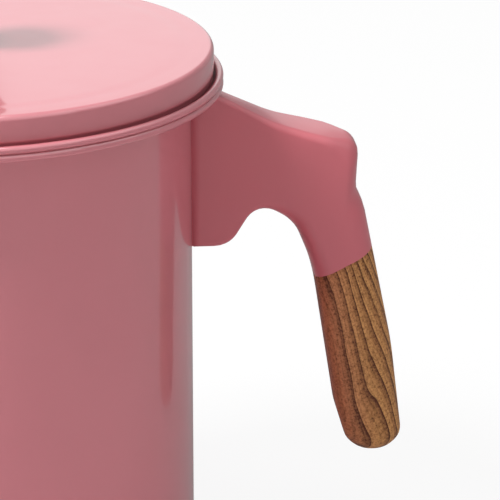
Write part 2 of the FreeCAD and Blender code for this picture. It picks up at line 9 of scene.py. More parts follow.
import bmesh
import bpy
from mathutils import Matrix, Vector


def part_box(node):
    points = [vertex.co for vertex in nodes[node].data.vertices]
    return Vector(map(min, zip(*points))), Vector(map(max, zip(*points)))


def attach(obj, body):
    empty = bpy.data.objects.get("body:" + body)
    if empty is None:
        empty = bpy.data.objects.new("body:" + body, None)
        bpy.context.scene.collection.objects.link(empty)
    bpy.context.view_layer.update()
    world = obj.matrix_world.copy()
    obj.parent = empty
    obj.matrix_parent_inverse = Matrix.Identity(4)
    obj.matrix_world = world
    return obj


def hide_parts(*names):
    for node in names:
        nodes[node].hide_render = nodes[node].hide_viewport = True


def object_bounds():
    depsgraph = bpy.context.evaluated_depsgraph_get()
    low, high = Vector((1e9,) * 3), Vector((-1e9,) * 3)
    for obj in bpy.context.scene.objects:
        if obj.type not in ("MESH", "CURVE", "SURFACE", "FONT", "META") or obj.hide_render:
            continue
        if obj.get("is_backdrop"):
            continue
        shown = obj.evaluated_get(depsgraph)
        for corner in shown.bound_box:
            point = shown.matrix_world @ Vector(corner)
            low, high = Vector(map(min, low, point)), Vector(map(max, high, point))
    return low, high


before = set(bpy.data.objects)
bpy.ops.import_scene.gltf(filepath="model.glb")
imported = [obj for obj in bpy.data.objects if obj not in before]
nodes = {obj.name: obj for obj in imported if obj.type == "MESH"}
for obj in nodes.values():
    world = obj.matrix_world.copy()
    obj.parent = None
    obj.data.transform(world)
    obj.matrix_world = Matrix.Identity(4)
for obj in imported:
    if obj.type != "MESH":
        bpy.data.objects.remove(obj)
cad_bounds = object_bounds()
scene = bpy.context.scene
MM = 0.001

# %% [markdown]
# The camera comes first. A long lens far away keeps the rim's ellipse as flat as
# the photograph shows it, and it looks down by almost twenty degrees. A camera
# could be moved by eye until the picture fits. This one was fitted to the rim, the
# lid and the handle, so it is written as real distances: from the pot's axis, and
# from a level a little under the lid's top face.

# %% The camera
CAMERA_DISTANCE = 764.8 * MM
CAMERA_RISE = 213.7 * MM
LEVEL_OVER_LID_FOOT = 7.9 * MM
CAMERA_YAW = math.radians(5.673)
CAMERA_PITCH = math.radians(19.542)
LENS_LENGTH = 216.0
SENSOR_WIDTH = 36.0
FAR_LIMIT = 50.0

lid_low, lid_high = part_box("lid_shell")
camera_height = lid_low.z + LEVEL_OVER_LID_FOOT + CAMERA_RISE

bpy.ops.object.camera_add(location=(0, -CAMERA_DISTANCE, camera_height))
camera = bpy.context.object
camera.name = "camera"
camera.rotation_euler = (math.pi / 2 - CAMERA_PITCH, 0, -CAMERA_YAW)
camera.data.lens = LENS_LENGTH
camera.data.sensor_width = SENSOR_WIDTH
camera.data.clip_end = FAR_LIMIT
scene.camera = camera
print("camera stands", round(CAMERA_DISTANCE, 3), "m in front of the axis")

# %% [markdown]
# An operator acts on all that is selected, so each new piece starts from an empty
# selection. It ends by hiding the CAD node it stands for and hanging the piece on
# the body that carries it. Those two steps could be repeated for every piece; one
# helper takes them the same way each time.

# %% Starting and ending a piece


def deselect_all():
    if bpy.context.object and bpy.context.object.mode != "OBJECT":
        bpy.ops.object.mode_set(mode="OBJECT")
    bpy.ops.object.select_all(action="DESELECT")


def stand_in(piece, body, slot, *node_names):
    """Hides the CAD nodes a new piece replaces and hangs it on the body it rides on. The slot is not
    used.
    """
    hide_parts(*node_names)
    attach(piece, body)
    print(piece.name, "has", len(piece.data.polygons), "faces")


deselect_all()
print("selected before the first piece:", len(bpy.context.selected_objects))

# %% [markdown]
# An outline is a list of (radius, height) in millimetres, as a turner draws a
# profile. Its rounded stretches come from an arc helper instead of typed points,
# and flat faces get a few rings in between, so that no face is very long.

# %% Helpers for outlines
DISC_RINGS = (20.0, 40.0)
WALL_RINGS = (20.0, 60.0, 100.0)
FINE_STEPS = 10


def arc(centre, radius, start, end, steps=6):
    """Points on an arc, as (radius, height), with the angles in degrees."""
    points = []
    for step in range(steps + 1):
        angle = math.radians(start + (end - start) * step / steps)
        out = centre[0] + radius * math.cos(angle)
        up = centre[1] + radius * math.sin(angle)
        points.append((out, up))
    return points


def flat(rings, height):
    """Points at one height, one for each ring that crosses a flat face."""
    return [(ring, height) for ring in rings]


def upright(radius, heights):
    """Points at one radius, one for each ring that crosses a straight wall."""
    return [(radius, height) for height in heights]


print("a quarter turn in six steps has", len(arc((0, 0), 1, 0, 90)), "points")

# %% [markdown]
# Every new round piece is turned on a lathe, as a metal spinner would do it. A
# curve with the Screw modifier could do the same. Here one ring of points is
# extruded and resized, ring after ring, until the outline is closed, because that
# gives clean, evenly curved quads, and gloss runs over them smoothly. A ring can't
# be resized to nothing, so a disc ends in a tiny ring round the axis, which is then
# filled and poked into a fan.

# %% The lathe
RING_SIDES = 160
MERGE_DISTANCE = 1e-7
LATHE_SMOOTH_ANGLE = math.radians(50)
SIDES_OF_A_CAP = 8


def lathe(name, outline, closed=True, sides=RING_SIDES):
    """Turns an outline round the Z axis, ring by ring, with extrude and resize."""
    deselect_all()
    radius, height = outline[0]
    bpy.ops.mesh.primitive_circle_add(vertices=sides, radius=radius * MM,
                                      location=(0, 0, height * MM))
    piece = bpy.context.object
    piece.name = name
    bpy.ops.object.transform_apply(location=True, rotation=True, scale=True)
    bpy.ops.object.mode_set(mode="EDIT")
    bpy.ops.mesh.select_mode(type="VERT")
    bpy.ops.mesh.select_all(action="SELECT")
    for next_radius, next_height in outline[1:]:
        rise = (next_height - height) * MM
        bpy.ops.mesh.extrude_region_move(TRANSFORM_OT_translate={"value": (0, 0, rise)})
        grow = next_radius / radius
        bpy.ops.transform.resize(value=(grow, grow, 1), center_override=(0, 0, next_height * MM))
        radius, height = next_radius, next_height
    bpy.ops.mesh.select_all(action="DESELECT")
    bpy.ops.mesh.select_non_manifold()
    if closed:
        bpy.ops.mesh.bridge_edge_loops()
    else:
        bpy.ops.mesh.edge_face_add()
    bpy.ops.mesh.select_all(action="SELECT")
    bpy.ops.mesh.remove_doubles(threshold=MERGE_DISTANCE)
    bpy.ops.mesh.normals_make_consistent(inside=False)
    bpy.ops.object.mode_set(mode="OBJECT")
    bpy.ops.object.shade_smooth_by_angle(angle=LATHE_SMOOTH_ANGLE)
    return piece


def poke_caps(piece):
    """Turns each flat end face of many corners into a fan round its middle."""
    deselect_all()
    piece.select_set(True)
    bpy.context.view_layer.objects.active = piece
    bpy.ops.object.mode_set(mode="EDIT")
    bpy.ops.mesh.select_mode(type="FACE")
    bpy.ops.mesh.select_all(action="DESELECT")
    bpy.ops.mesh.select_face_by_sides(number=SIDES_OF_A_CAP, type="GREATER")
    bpy.ops.mesh.poke()
    bpy.ops.object.mode_set(mode="OBJECT")


print("the lathe makes rings of", RING_SIDES, "points")

# %% [markdown]
# The pot is a drawn steel can. Its flange turns outwards at the top and ends in a
# rolled bead, and its base has a small rounded corner. It could be a cylinder with
# bevels, but the bead needs its own turned outline. The sizes are read from the
# frame where the frame knows them; the sheet's thickness is the CAD's own.

# %% The pot
pot_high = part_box("pot_body")[1]
POT_RADIUS = 60.0
SHEET = 0.8
RIM_RADIUS = pot_high.x / MM
FLANGE_TOP = pot_high.z / MM
AXIS_GAP = 0.4
BASE_ROUND = 4.0
NECK_ROUND = 1.4
BEAD = 1.0
BEAD_STEPS = 14
BEAD_CIRCLE = RIM_RADIUS - BEAD
POT_BEAD_TURN = (195, 400)
POT_BEAD_FOOT = 1.4
VALLEY = 0.5
VALLEY_GAP = 0.04


def pot_outline():
    """From the middle of the base out, up and round the bead, and back inside."""
    inner_round = BASE_ROUND - SHEET
    inside = POT_RADIUS - SHEET
    under = FLANGE_TOP - SHEET
    outline = flat((AXIS_GAP,) + DISC_RINGS, 0.0)
    outline += arc((POT_RADIUS - BASE_ROUND, BASE_ROUND), BASE_ROUND, -90, 0)
    outline += upright(POT_RADIUS, WALL_RINGS)
    outline += arc((POT_RADIUS + NECK_ROUND, under - NECK_ROUND), NECK_ROUND, 180, 90)
    outline += [(BEAD_CIRCLE - POT_BEAD_FOOT, under)]
    outline += arc((BEAD_CIRCLE, FLANGE_TOP - BEAD), BEAD, *POT_BEAD_TURN, BEAD_STEPS)
    outline += [(BEAD_CIRCLE + VALLEY, FLANGE_TOP - VALLEY_GAP), (BEAD_CIRCLE, FLANGE_TOP)]
    outline += arc((inside + NECK_ROUND, FLANGE_TOP - NECK_ROUND), NECK_ROUND, 90, 180)
    outline += upright(inside, reversed(WALL_RINGS))
    outline += arc((inside - inner_round, SHEET + inner_round), inner_round, 0, -90)
    outline += flat(reversed((AXIS_GAP,) + DISC_RINGS), SHEET)
    return outline


pot = lathe("pot_shell", pot_outline(), closed=False)
poke_caps(pot)
stand_in(pot, "pot", "pink_enamel", "pot_body")

# %% [markdown]
# The strainer hangs in the pot's mouth by a second rolled bead that lies on the
# pot's own, which is why the rim shows two thin rolls with a valley between. The
# two rolls could be one piece, but the strainer lifts out, so it has its own ring.

# %% The strainer's rim
STRAINER_SHEET = 0.6
COLLAR_PLAY = 0.3
COLLAR_OUTSIDE = POT_RADIUS - SHEET - COLLAR_PLAY
COLLAR_INSIDE = COLLAR_OUTSIDE - STRAINER_SHEET
COLLAR_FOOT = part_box("strainer_rim")[0].z / MM
COLLAR_ROUND = 1.0
CUT_EDGE = 0.2
RING_BEAD_FOOT = 1.6
RING_BEAD_TURN = (320, 515)


def strainer_rim_outline():
    """Up the outside of the collar, round the bead and down the inside."""
    top = FLANGE_TOP + STRAINER_SHEET
    inner_round = COLLAR_ROUND + STRAINER_SHEET
    outline = [(COLLAR_INSIDE, COLLAR_FOOT + CUT_EDGE), (COLLAR_INSIDE + CUT_EDGE, COLLAR_FOOT)]
    outline += [(COLLAR_OUTSIDE - CUT_EDGE, COLLAR_FOOT), (COLLAR_OUTSIDE, COLLAR_FOOT + CUT_EDGE)]
    outline += arc((COLLAR_OUTSIDE + COLLAR_ROUND, FLANGE_TOP - COLLAR_ROUND), COLLAR_ROUND, 180, 90)
    outline += [(BEAD_CIRCLE + VALLEY, FLANGE_TOP + VALLEY_GAP)]
    outline += arc((BEAD_CIRCLE, FLANGE_TOP + BEAD), BEAD, *RING_BEAD_TURN, BEAD_STEPS)
    outline += [(BEAD_CIRCLE - RING_BEAD_FOOT, top)]
    outline += arc((COLLAR_INSIDE + inner_round, top - inner_round), inner_round, 90, 180)
    return outline


rim = lathe("strainer_ring", strainer_rim_outline())
stand_in(rim, "strainer", "pink_enamel", "strainer_rim")

# %% [markdown]
# The cup is spun from stainless sheet: a straight collar, a cone below it, and a
# ledge at the bottom that carries the wire net. It could be a cone with a wall
# added by Solidify; the typed outline keeps the ledge and the cut edges exact.

# %% The strainer's cup
cup_low, cup_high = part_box("strainer_cup")
CUP_BOTTOM = cup_low.z / MM
CUP_TOP = cup_high.z / MM
CUP_TAPER = 9.0
LEDGE = 3.0
CUP_LIP = 0.1
CUP_BEND = (0.15, 0.5)
CUP_CORNER = 0.5
CUP_INNER_CORNER = 0.3


def strainer_cup_outline():
    """Out along the ledge, up the cone and the collar, and back down inside."""
    outside = COLLAR_INSIDE
    inside = outside - STRAINER_SHEET
    low = outside - CUP_TAPER
    low_inside = low - STRAINER_SHEET
    floor_top = CUP_BOTTOM + STRAINER_SHEET
    bend_in, bend_down = CUP_BEND
    return [
        (low_inside - LEDGE, CUP_BOTTOM),
        (low - CUP_CORNER, CUP_BOTTOM),
        (low, CUP_BOTTOM + CUP_CORNER),
        (outside - bend_in, COLLAR_FOOT - bend_down),
        (outside, COLLAR_FOOT),
        (outside, CUP_TOP - CUP_LIP),
        (outside - CUP_LIP, CUP_TOP),
        (inside + CUP_LIP, CUP_TOP),
        (inside, CUP_TOP - CUP_LIP),
        (inside, COLLAR_FOOT),
        (inside - bend_in, COLLAR_FOOT - bend_down),
        (low_inside, floor_top + CUP_INNER_CORNER),
        (low_inside - CUP_INNER_CORNER, floor_top),
        (low_inside - LEDGE, floor_top),
    ]


cup = lathe("strainer_bowl", strainer_cup_outline())
stand_in(cup, "strainer", "stainless", "strainer_cup")

# %% [markdown]
# The lid is one pressing: a margin, a low step up to the middle panel, a rounded
# edge and a short skirt whose lower edge is hemmed. The step is only a fifth of a
# millimetre high. A bump in the material could fake it, but turned rings make it
# real, so its reflection bends from every side.

# %% The lid
LID_RADIUS = lid_high.x / MM
LID_FOOT = lid_low.z / MM
LID_HEIGHT = 8.6
LID_TOP = LID_FOOT + LID_HEIGHT
LID_ROUND = 1.4
PANEL_RISE = 0.2
PANEL_TOP = LID_TOP + PANEL_RISE
LID_MARGIN = 9.6
PANEL_SLOPE = 3.0
SOFT_REACH = 1.0
SOFT_RISE = 0.02
SCREW_HOLE = 2.2
HEM_DEPTH = 0.4
HEM_EDGE = 0.1
HEM_RINGS = (0.9, 1.7, 2.2)


def lid_outline():
    """Round the hem, up the skirt, in over the panel, and back under the sheet."""
    inside = LID_RADIUS - SHEET
    hem = LID_RADIUS - HEM_DEPTH
    panel = LID_RADIUS - LID_MARGIN
    slope = panel + PANEL_SLOPE
    half_slope = (slope + panel) / 2
    inner_round = LID_ROUND - SHEET
    hem_top, skirt_bend, skirt_foot = (LID_FOOT + ring for ring in HEM_RINGS)
    under = PANEL_TOP - SHEET
    margin_under = LID_TOP - SHEET
    outline = [(inside, LID_FOOT + HEM_EDGE), (inside + HEM_EDGE, LID_FOOT)]
    outline += [(hem - HEM_EDGE, LID_FOOT), (hem, LID_FOOT + HEM_EDGE), (hem, hem_top)]
    outline += [(LID_RADIUS - HEM_EDGE, skirt_bend), (LID_RADIUS, skirt_foot)]
    outline += arc((LID_RADIUS - LID_ROUND, LID_TOP - LID_ROUND), LID_ROUND, 0, 90, FINE_STEPS)
    outline += [(slope + SOFT_REACH, LID_TOP), (slope, LID_TOP + SOFT_RISE)]
    outline += [(half_slope, LID_TOP + PANEL_RISE / 2)]
    outline += [(panel, PANEL_TOP - SOFT_RISE), (panel - SOFT_REACH, PANEL_TOP)]
    outline += flat(reversed((SCREW_HOLE,) + DISC_RINGS), PANEL_TOP)
    outline += flat((SCREW_HOLE,) + DISC_RINGS + (panel - SOFT_REACH,), under)
    outline += [(panel, under - SOFT_RISE), (half_slope, under - PANEL_RISE / 2)]
    outline += [(slope, margin_under + SOFT_RISE), (slope + SOFT_REACH, margin_under)]
    outline += arc((inside - inner_round, margin_under - inner_round), inner_round, 90, 0)
    return outline


lid = lathe("lid_pressing", lid_outline())
stand_in(lid, "lid", "pink_enamel", "lid_shell")

# %% [markdown]
# The knob is turned wood. The photograph shows only its shadow, so its form is a
# plain mushroom that throws such a shadow and leaves the same stretch of lid free.
# It goes on the same lathe: a foot, a waist that swings in, a cap and a low dome.

# %% The knob
knob_low, knob_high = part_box("lid_knob")
KNOB_HEIGHT = (knob_high.z - knob_low.z) / MM
KNOB_SIDES = 96
KNOB_TRIM = 1.0
KNOB_CAP = knob_high.x / MM - KNOB_TRIM
KNOB_FOOT = 8.8
KNOB_FOOT_EDGE = 0.5
KNOB_FOOT_ROUND = 1.2
KNOB_WAIST = 6.9
WAIST_ROUND = 7.4
WAIST_LEVEL = 9.5
WAIST_TURN = (215, 135)
CAP_ROUND = 4.6
CAP_LEVEL = 20.0
CAP_TURN = (-38, 62)
KNOB_TOP_GAP = 0.02
KNOB_AXIS_GAP = 0.3
KNOB_BORE = 3.4
KNOB_BORE_DEPTH = 12.0
KNOB_DOME = ((0.62, 1.0), (0.42, 0.35), (0.2, 0.06))


def knob_outline():
    """From the top of the bore down, round the foot, and up to the dome's middle."""
    base = knob_low.z / MM
    top = base + KNOB_HEIGHT - KNOB_TOP_GAP
    bore_top = base + KNOB_BORE_DEPTH
    outline = [(KNOB_AXIS_GAP, bore_top), (KNOB_BORE, bore_top), (KNOB_BORE, base)]
    outline += [(KNOB_FOOT - KNOB_FOOT_EDGE, base)]
    outline += arc((KNOB_FOOT - KNOB_FOOT_EDGE, base + KNOB_FOOT_EDGE), KNOB_FOOT_EDGE, -90, 0, 3)
    foot_centre = (KNOB_FOOT - KNOB_FOOT_ROUND, base + 2 * KNOB_FOOT_ROUND)
    outline += arc(foot_centre, KNOB_FOOT_ROUND, 0, 60, 4)
    outline += arc((KNOB_WAIST + WAIST_ROUND, base + WAIST_LEVEL), WAIST_ROUND, *WAIST_TURN, FINE_STEPS)
    outline += arc((KNOB_CAP - CAP_ROUND, base + CAP_LEVEL), CAP_ROUND, *CAP_TURN, FINE_STEPS)
    outline += [(KNOB_CAP * share, top - drop) for share, drop in KNOB_DOME]
    outline += [(KNOB_AXIS_GAP, top)]
    return outline


knob = lathe("knob_turning", knob_outline(), closed=False, sides=KNOB_SIDES)
poke_caps(knob)
stand_in(knob, "lid", "wood_grain", "lid_knob")

# %% [markdown]
# The handle is a moulding, so it is modelled as one skin stretched over stations.
# A subdivided box could be pushed into this form by hand, but its outline would be
# hard to hold. Here the side that faces the pot and the outer side are each a line
# with rounded corners, given as x, z and a radius in millimetres. Both lines run
# from the pot's wall round the handle to the grip's end.

# %% The handle's two outlines
BURIED = 59.2
WALL_TOP = 135.3
FOOT = 88.7
GRIP_END = 27.7
MOST_OF_HALF = 0.48
INNER_CORNERS = [
    (BURIED, FOOT, 0.0), (69.9, FOOT, 7.0), (77.4, 101.3, 8.5), (87.4, 95.8, 12.0),
    (93.0, 82.1, 60.0), (99.4, 41.0, 25.0), (103.4, GRIP_END, 7.0), (118.4, GRIP_END, 0.0),
]
OUTER_CORNERS = [
    (BURIED, WALL_TOP, 0.0), (82.0, 123.9, 40.0), (105.0, 117.6, 4.2), (104.2, 104.7, 5.0),
    (106.5, 99.7, 8.0), (114.6, 59.6, 100.0), (118.4, GRIP_END, 8.4), (103.4, GRIP_END, 0.0),
]


def turned(arm, angle):
    """A flat vector, turned by an angle in radians."""
    cosine = math.cos(angle)
    sine = math.sin(angle)
    return Vector((arm.x * cosine - arm.y * sine, arm.x * sine + arm.y * cosine))


def rounded_line(corners, arc_steps=8):
    """An open line through corners given as x, z and the radius that rounds them."""
    line = []
    last = len(corners) - 1
    for index, (x, z, radius) in enumerate(corners):
        here = Vector((x, z))
        if index in (0, last) or radius == 0.0:
            line.append(here)
            continue
        back = Vector(corners[index - 1][:2]) - here
        ahead = Vector(corners[index + 1][:2]) - here
        half_opening = back.angle(ahead) / 2
        room = MOST_OF_HALF * min(back.length, ahead.length)
        reach = min(radius / math.tan(half_opening), room)
        bulge = reach * math.tan(half_opening)
        inward = (back.normalized() + ahead.normalized()).normalized()
        middle = here + inward * (bulge / math.sin(half_opening))
        start = here + back.normalized() * reach - middle
        sweep = start.angle_signed(here + ahead.normalized() * reach - middle)
        for step in range(arc_steps + 1):
            line.append(middle + turned(start, -sweep * step / arc_steps))
    return line


def fine_line(line, step=0.25):
    """The same line with a point every quarter of a millimetre or so."""
    points = [line[0]]
    for one, two in zip(line, line[1:]):
        parts = max(1, round((two - one).length / step))
        points += [one.lerp(two, part / parts) for part in range(1, parts + 1)]
    return points


inner_line = fine_line(rounded_line(INNER_CORNERS))
outer_line = fine_line(rounded_line(OUTER_CORNERS))
outer_length = sum((two - one).length for one, two in zip(outer_line, outer_line[1:]))
print("the handle's outer side is", round(outer_length), "mm long")

# %% [markdown]
# A station joins a point of the inner line to a point of the outer one. Even steps
# along each line would set the stations askew, because the outer line is longer.
# So pairs of marks say which places belong together, through the block, over the
# thumb rest and round the arch, and the stations are spread evenly between them.

# %% The stations of the arm
STATION_COUNTS = [2, 1, 5, 12, 7, 8, 8, 4]
INNER_MARKS = [
    (BURIED, FOOT), (60.1, FOOT), (60.5, FOOT), (69.2, FOOT), (79.4, 98.9),
    (86.4, 95.4), (90.2, 91.5), (93.2, 84.0), (93.4, 79.6),
]
OUTER_MARKS = [
    (BURIED, WALL_TOP), (60.1, 134.8), (60.5, 134.6), (69.5, 130.2), (84.0, 123.2),
    (101.4, 119.0), (104.9, 115.6), (105.9, 100.6), (108.6, 87.8),
]


def nearest(line, mark):
    """The number of the line's point that lies nearest to a mark."""
    return min(range(len(line)), key=lambda index: (line[index] - Vector(mark)).length)


def walk(line, marks, counts):
    """Evenly spaced points between marks, each taken at the line's nearest point."""
    stops = [nearest(line, mark) for mark in marks]
    points = [line[stops[0]]]
    for start, end, count in zip(stops, stops[1:], counts):
        for step in range(1, count + 1):
            points.append(line[round(start + (end - start) * step / count)])
    return points


arm_inner = walk(inner_line, INNER_MARKS, STATION_COUNTS)
arm_outer = walk(outer_line, OUTER_MARKS, STATION_COUNTS)
print("the arm has", len(arm_inner), "stations")

# %% [markdown]
# The real handle is thin where it meets the pot and flares to a full grip, and its
# edges grow softer on the way. A bevel would round them all alike. Here each
# station's ring is a rectangle with rounded corners, whose width and corner radius
# follow from its place: small at the wall and on the top face, large on the grip
# and at the tip of the thumb rest.

# %% One station's ring
NECK_HALF = 4.1
GRIP_HALF = 9.1
FLARE_START = 69.0
FLARE_END = 91.5
FLARE_SOFTNESS = 0.12
SMALL_EDGE = 1.6
GRIP_EDGE = 6.2
EDGE_GROWTH = 26.0
TOP_EDGE = 2.2
TOP_START = 101.0
TOP_REACH = 12.0
TIP_EXTRA = 4.6
TIP_START = 96.0
TIP_REACH = 8.0
MOST_OF_WIDTH = 0.98
RING_POINTS = 40
RING_CORNERS = ((-1, False, 180), (-1, True, 270), (1, True, 0), (1, False, 90))


def smooth_step(share):
    """0 below 0, 1 above 1, and an even S between."""
    share = max(0.0, min(1.0, share))
    return share * share * (3 - 2 * share)


def half_width(x):
    """Half of the handle's width, from the narrow neck to the full grip."""
    slope = (x - FLARE_START) / (FLARE_END - FLARE_START)
    rising = math.sqrt(slope ** 2 + FLARE_SOFTNESS ** 2)
    levelling = math.sqrt((slope - 1) ** 2 + FLARE_SOFTNESS ** 2)
    return NECK_HALF + (GRIP_HALF - NECK_HALF) * 0.5 * (rising - levelling + 1)


def edge_radius(point, outer):
    """Small edges at the wall and on the top face, large ones on the grip."""
    share = smooth_step((point.x - FLARE_START) / EDGE_GROWTH)
    large = GRIP_EDGE
    if outer:
        above = smooth_step((point.y - TOP_START) / TOP_REACH)
        tip = smooth_step((point.x - TIP_START) / TIP_REACH)
        large = large + (TOP_EDGE + TIP_EXTRA * tip - large) * above
    return SMALL_EDGE + (large - SMALL_EDGE) * share


def ring_points(inner, outer, shrink):
    """One station's ring: a rectangle with rounded corners from inner to outer."""
    depth = (outer - inner).length
    along = (outer - inner).normalized()
    steps = RING_POINTS // 4 - 1
    points = []
    for side, at_outer, turn in RING_CORNERS:
        point = outer if at_outer else inner
        half = half_width(point.x) - shrink
        radius = min(edge_radius(point, at_outer), half * MOST_OF_WIDTH, depth * MOST_OF_HALF)
        centre_lie = depth - radius if at_outer else radius
        centre_across = side * (half - radius)
        for step in range(steps + 1):
            angle = math.radians(turn + 90 * step / steps)
            place = inner + along * (centre_lie + radius * math.cos(angle))
            across = centre_across + radius * math.sin(angle)
            points.append(Vector((place.x, across, place.y)) * MM)
    return points


print("the handle widens from", 2 * NECK_HALF, "to", 2 * GRIP_HALF, "mm")

# %% [markdown]
# The skin is extruded from station to station, as a sock is pulled over a foot. A
# bridge between loose rings would give the same faces, but extruding keeps the
# points in order, so that each ring can be set to its place as it is made. The
# first stations at the wall are a little narrower, for the fine joint line there.

# %% The arm
SKIN_SMOOTH_ANGLE = math.radians(55)
WALL_SHRINK = 0.35
WALL_STATIONS = 3


def skin(name, stations, shrinks):
    """Extrudes a ring from station to station and closes both ends."""
    deselect_all()
    bpy.ops.mesh.primitive_circle_add(vertices=RING_POINTS, radius=GRIP_HALF * MM)
    piece = bpy.context.object
    piece.name = name
    bpy.ops.object.mode_set(mode="EDIT")
    bpy.ops.mesh.select_mode(type="VERT")
    bpy.ops.mesh.select_all(action="SELECT")
    for index, ((inner, outer), shrink) in enumerate(zip(stations, shrinks)):
        if index:
            bpy.ops.mesh.extrude_region_move(TRANSFORM_OT_translate={"value": (0, 0, -MM)})
        mesh = bmesh.from_edit_mesh(piece.data)
        mesh.verts.ensure_lookup_table()
        ring = mesh.verts[-RING_POINTS:]
        for vertex, place in zip(ring, ring_points(inner, outer, shrink)):
            vertex.co = place
        bmesh.update_edit_mesh(piece.data)
    bpy.ops.mesh.select_all(action="DESELECT")
    bpy.ops.mesh.select_non_manifold()
    bpy.ops.mesh.edge_face_add()
    bpy.ops.mesh.select_all(action="SELECT")
    bpy.ops.mesh.normals_make_consistent(inside=False)
    bpy.ops.object.mode_set(mode="OBJECT")
    bpy.ops.object.shade_smooth_by_angle(angle=SKIN_SMOOTH_ANGLE)
    return piece


arm_shrinks = [WALL_SHRINK] * WALL_STATIONS + [0.0] * (len(arm_inner) - WALL_STATIONS)
arm = skin("handle_moulding", list(zip(arm_inner, arm_outer)), arm_shrinks)
stand_in(arm, "pot", "pink_plastic", "handle_arm")

# %% [markdown]
# The grip goes on from the arm's last station, a hair smaller, so that a fine
# shadow line shows where the pink ends and the wood begins. It could be one skin
# with the arm and two materials, but then there would be no line. Both chains of
# points follow the rounded end until they almost meet, and the width closes too.

# %% The grip
GRIP_COUNTS = [24, 12]
GRIP_INSET = 0.12
LIP_INSET = 0.5
END_ROUND = 6.8
END_HALF = 1.2
INNER_END_MARKS = [(100.6, 37.0), (109.2, GRIP_END)]
OUTER_END_MARKS = [(117.1, 37.0), (110.8, GRIP_END)]


def grip_stations():
    """Pairs of inner and outer points down the grip, with how much each is narrowed."""
    inner = walk(inner_line, [INNER_MARKS[-1]] + INNER_END_MARKS, GRIP_COUNTS)
    outer = walk(outer_line, [OUTER_MARKS[-1]] + OUTER_END_MARKS, GRIP_COUNTS)
    shrinks = []
    for number, (one, two) in enumerate(zip(inner, outer)):
        rise = (one.y + two.y) / 2 - GRIP_END
        inside = max(0.0, 1.0 - rise / END_ROUND)
        narrowing = END_ROUND * (1 - math.sqrt(max(0.0, 1 - inside ** 2)))
        inset = LIP_INSET if number == 0 else GRIP_INSET
        shrinks.append(min(inset + narrowing, GRIP_HALF - END_HALF))
    return list(zip(inner, outer)), shrinks


stations, shrinks = grip_stations()
grip = skin("grip_turning", stations, shrinks)
stand_in(grip, "pot", "wood_grain", "handle_grip")

# %% [markdown]
# Shader maths reads best as plain expressions. Nodes could be placed and linked one
# by one, but then a formula takes a page. So one small class wraps a socket and
# overloads the operators, and one method makes any other node.

# %% A small language for shaders


class Wire:
    """A shader socket that takes part in sums, products, quotients and powers."""

    def __init__(self, tree, socket):
        self.tree = tree
        self.socket = socket

    def maths(self, operation, other, swap=False):
        numbers = [other, self] if swap else [self, other]
        return make(self.tree, "ShaderNodeMath", {"operation": operation}, numbers)

    def __add__(self, other):
        return self.maths("ADD", other)

    def __radd__(self, other):
        return self.maths("ADD", other, True)

    def __sub__(self, other):
        return self.maths("SUBTRACT", other)

    def __rsub__(self, other):
        return self.maths("SUBTRACT", other, True)

    def __mul__(self, other):
        return self.maths("MULTIPLY", other)

    def __rmul__(self, other):
        return self.maths("MULTIPLY", other, True)

    def __truediv__(self, other):
        return self.maths("DIVIDE", other)

    def __rtruediv__(self, other):
        return self.maths("DIVIDE", other, True)

    def __pow__(self, other):
        return self.maths("POWER", other)

    def __rpow__(self, other):
        return self.maths("POWER", other, True)

    def unsigned(self):
        """The same number without its sign."""
        return self.maths("ABSOLUTE", 0.0)

    def fraction(self):
        """What is left over after the whole numbers: a saw-tooth."""
        return self.maths("FRACT", 0.0)

    def clamped(self):
        """The same number, kept between 0 and 1."""
        settings = {"operation": "ADD", "use_clamp": True}
        return make(self.tree, "ShaderNodeMath", settings, [self, 0.0])

    def sibling(self, output):
        """Another output of the same node, by its name or number."""
        return Wire(self.tree, self.socket.node.outputs[output])


def join(tree, target, value):
    """Links a wire to a socket, or sets a plain value on it."""
    if isinstance(value, Wire):
        tree.links.new(value.socket, target)
    else:
        target.default_value = value


def make(tree, kind, settings=None, inputs=None, output=0):
    """Adds a node, sets its settings, then joins its inputs by number or name."""
    node = tree.nodes.new(kind)
    for name, value in (settings or {}).items():
        setattr(node, name, value)
    if not isinstance(inputs, dict):
        inputs = dict(enumerate(inputs or []))
    for place, value in inputs.items():
        join(tree, node.inputs[place], value)
    return Wire(tree, node.outputs[output])


both_ways = [name for name in vars(Wire) if name.startswith("__r")]
print("a wire takes", len(both_ways), "operators from either side")

# %% [markdown]
# Every finish below needs the same few things: a place on the piece, noise at that
# place, a mix of two colours and a fine bump. The place is read from the object's
# own coordinates, which are real metres here, so a pattern keeps its true scale.
# Colours are written as the eye reads them and turned to Blender's linear numbers.

# %% Helpers for finishes
FIRST_COLOUR = 6
SECOND_COLOUR = 7
COLOUR_RESULT = 2


def linear(red, green, blue):
    """A colour as the eye reads it, 0 to 255, as Blender's linear numbers."""
    channels = []
    for value in (red, green, blue):
        share = value / 255
        channels.append(share / 12.92 if share <= 0.04045 else ((share + 0.055) / 1.055) ** 2.4)
    return tuple(channels) + (1.0,)


def new_material(name, constants):
    """A material with one Principled shader, its plain numbers set on its sockets."""
    material = bpy.data.materials.new(name)
    material.use_nodes = True
    tree = material.node_tree
    shader = tree.nodes["Principled BSDF"]
    for socket, value in constants.items():
        shader.inputs[socket].default_value = value
    return material, tree, shader


def place_of(tree, scale=(1, 1, 1)):
    """The point on the piece, in metres, stretched where a scale is under 1."""
    place = make(tree, "ShaderNodeTexCoord", output="Object")
    return make(tree, "ShaderNodeMapping", {}, {"Vector": place, "Scale": scale})


def split(tree, place):
    """The x, y and z of a place."""
    parts = make(tree, "ShaderNodeSeparateXYZ", {}, [place])
    return [parts.sibling(axis) for axis in "XYZ"]


def noise(tree, place, scale, detail=2.0, roughness=0.5):
    inputs = {"Vector": place, "Scale": scale, "Detail": detail, "Roughness": roughness}
    return make(tree, "ShaderNodeTexNoise", {}, inputs)


